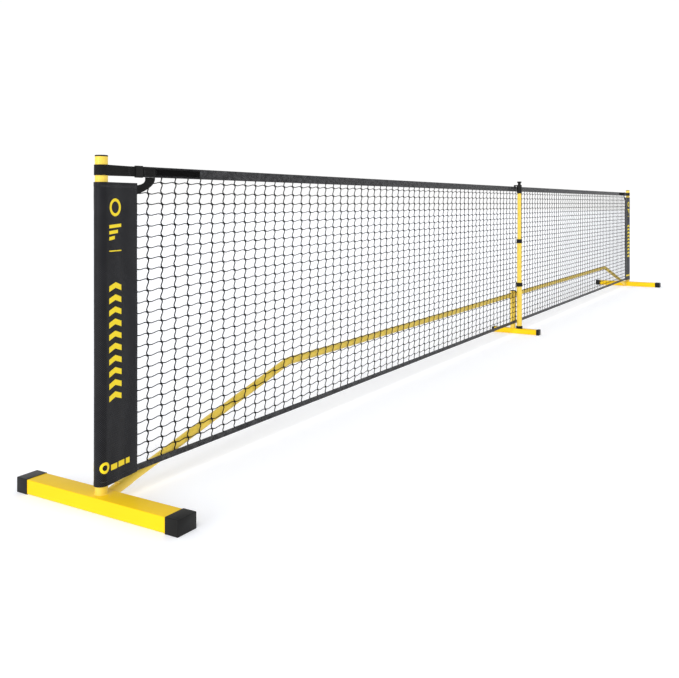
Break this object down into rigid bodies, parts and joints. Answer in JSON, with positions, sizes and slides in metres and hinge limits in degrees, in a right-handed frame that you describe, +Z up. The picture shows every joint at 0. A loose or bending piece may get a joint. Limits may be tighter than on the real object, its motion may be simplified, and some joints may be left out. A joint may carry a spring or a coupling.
{
  "type": "portable pickleball net",
  "caption": "Free-standing court net on a yellow tube frame: end posts on long feet, a low rail, a centre mast, fabric sleeves and a knotted net between tapes.",
  "frame": {"origin": "on the floor under the middle of the net", "axes": "+X along the net, +Z up, -Y towards the front, where the mast stands"},
  "size_m": [6.775, 0.6, 0.946],
  "materials": {
    "yellow_paint": "glossy powder coat",
    "black_plastic": "satin moulded",
    "black_webbing": "woven webbing",
    "sleeve_fabric": "coated woven polyester",
    "net_cord": "braided cord",
    "bare_steel": "plated steel"
  },
  "bodies": {
    "frame": {"left_foot_tube": "yellow_paint", "left_foot_cap_front": "black_plastic", "left_foot_cap_back": "black_plastic", "left_post_stub": "yellow_paint", "left_post_ferrule": "bare_steel", "left_rail_socket": "yellow_paint", "left_brace_rod": "yellow_paint", "left_bent_rail": "yellow_paint", "left_outer_ferrule": "bare_steel", "left_middle_rail": "yellow_paint", "left_inner_ferrule": "bare_steel", "left_inner_rail": "yellow_paint", "left_sleeve": "sleeve_fabric", "left_end_strap": "black_webbing", "left_loop_patch": "black_webbing", "left_corner_strap": "black_webbing", "right_foot_tube": "yellow_paint", "right_foot_cap_front": "black_plastic", "right_foot_cap_back": "black_plastic", "right_post_stub": "yellow_paint", "right_post_ferrule": "bare_steel", "right_rail_socket": "yellow_paint", "right_brace_rod": "yellow_paint", "right_bent_rail": "yellow_paint", "right_outer_ferrule": "bare_steel", "right_middle_rail": "yellow_paint", "right_inner_ferrule": "bare_steel", "right_inner_rail": "yellow_paint", "right_sleeve": "sleeve_fabric", "right_end_strap": "black_webbing", "right_loop_patch": "black_webbing", "right_corner_strap": "black_webbing", "centre_foot_tube": "yellow_paint", "centre_foot_cap_front": "black_plastic", "centre_foot_cap_back": "black_plastic", "centre_tee": "yellow_paint", "centre_tee_cap": "black_plastic", "mast_base_ring": "black_plastic", "mast_lower_tube": "yellow_paint", "net_mesh": "net_cord", "top_tape": "black_webbing", "bottom_tape": "black_webbing"},
    "left_post": {"left_post_tube": "yellow_paint", "left_post_cap": "black_plastic"},
    "left_flap": {"left_strap_flap": "black_webbing"},
    "left_slider": {"left_strap_slider": "black_plastic"},
    "left_socket_pin": {"left_socket_button": "bare_steel"},
    "left_rail_pin": {"left_rail_button": "bare_steel"},
    "right_post": {"right_post_tube": "yellow_paint", "right_post_cap": "black_plastic"},
    "right_flap": {"right_strap_flap": "black_webbing"},
    "right_slider": {"right_strap_slider": "black_plastic"},
    "right_socket_pin": {"right_socket_button": "bare_steel"},
    "right_rail_pin": {"right_rail_button": "bare_steel"},
    "middle_mast": {"mast_middle_tube": "yellow_paint"},
    "top_mast": {"mast_top_tube": "yellow_paint", "mast_hook": "black_plastic"},
    "lower_lock": {"lower_collar": "black_plastic"},
    "upper_lock": {"upper_collar": "black_plastic"}
  },
  "joints": [
    {"name": "left_post_lift", "type": "slide", "parent": "frame", "child": "left_post", "axis": [0, 0, 1], "range_m": [0, 0.055]},
    {"name": "left_flap_peel", "type": "hinge", "parent": "frame", "child": "left_flap", "pos_m": [-3.2027, -0.0032, 0.899], "axis": [0, 0, -1], "range_deg": [0, 110]},
    {"name": "left_slider_travel", "type": "slide", "parent": "frame", "child": "left_slider", "axis": [-1, 0, 0], "range_m": [0, 0.02]},
    {"name": "left_socket_button_press", "type": "slide", "parent": "frame", "child": "left_socket_pin", "axis": [0, -1, 0], "range_m": [0, 0.0028], "stiffness_N_per_m": 400, "springref_m": -0.003},
    {"name": "left_rail_button_press", "type": "slide", "parent": "frame", "child": "left_rail_pin", "axis": [0, -1, 0], "range_m": [0, 0.0028], "stiffness_N_per_m": 400, "springref_m": -0.003},
    {"name": "right_post_lift", "type": "slide", "parent": "frame", "child": "right_post", "axis": [0, 0, 1], "range_m": [0, 0.055]},
    {"name": "right_flap_peel", "type": "hinge", "parent": "frame", "child": "right_flap", "pos_m": [3.2027, -0.0032, 0.899], "axis": [0, 0, 1], "range_deg": [0, 110]},
    {"name": "right_slider_travel", "type": "slide", "parent": "frame", "child": "right_slider", "axis": [1, 0, 0], "range_m": [0, 0.02]},
    {"name": "right_socket_button_press", "type": "slide", "parent": "frame", "child": "right_socket_pin", "axis": [0, -1, 0], "range_m": [0, 0.0028], "stiffness_N_per_m": 400, "springref_m": -0.003},
    {"name": "right_rail_button_press", "type": "slide", "parent": "frame", "child": "right_rail_pin", "axis": [0, -1, 0], "range_m": [0, 0.0028], "stiffness_N_per_m": 400, "springref_m": -0.003},
    {"name": "lower_collar_twist", "type": "hinge", "parent": "frame", "child": "lower_lock", "pos_m": [0, -0.022, 0.3], "axis": [0, 0, 1], "range_deg": [0, 90]},
    {"name": "middle_mast_slide", "type": "slide", "parent": "frame", "child": "middle_mast", "axis": [0, 0, 1], "range_m": [0, 0.05]},
    {"name": "upper_collar_twist", "type": "hinge", "parent": "middle_mast", "child": "upper_lock", "pos_m": [0, -0.022, 0.57], "axis": [0, 0, 1], "range_deg": [0, 90]},
    {"name": "top_mast_slide", "type": "slide", "parent": "middle_mast", "child": "top_mast", "axis": [0, 0, 1], "range_m": [0, 0.05]}
  ]
}
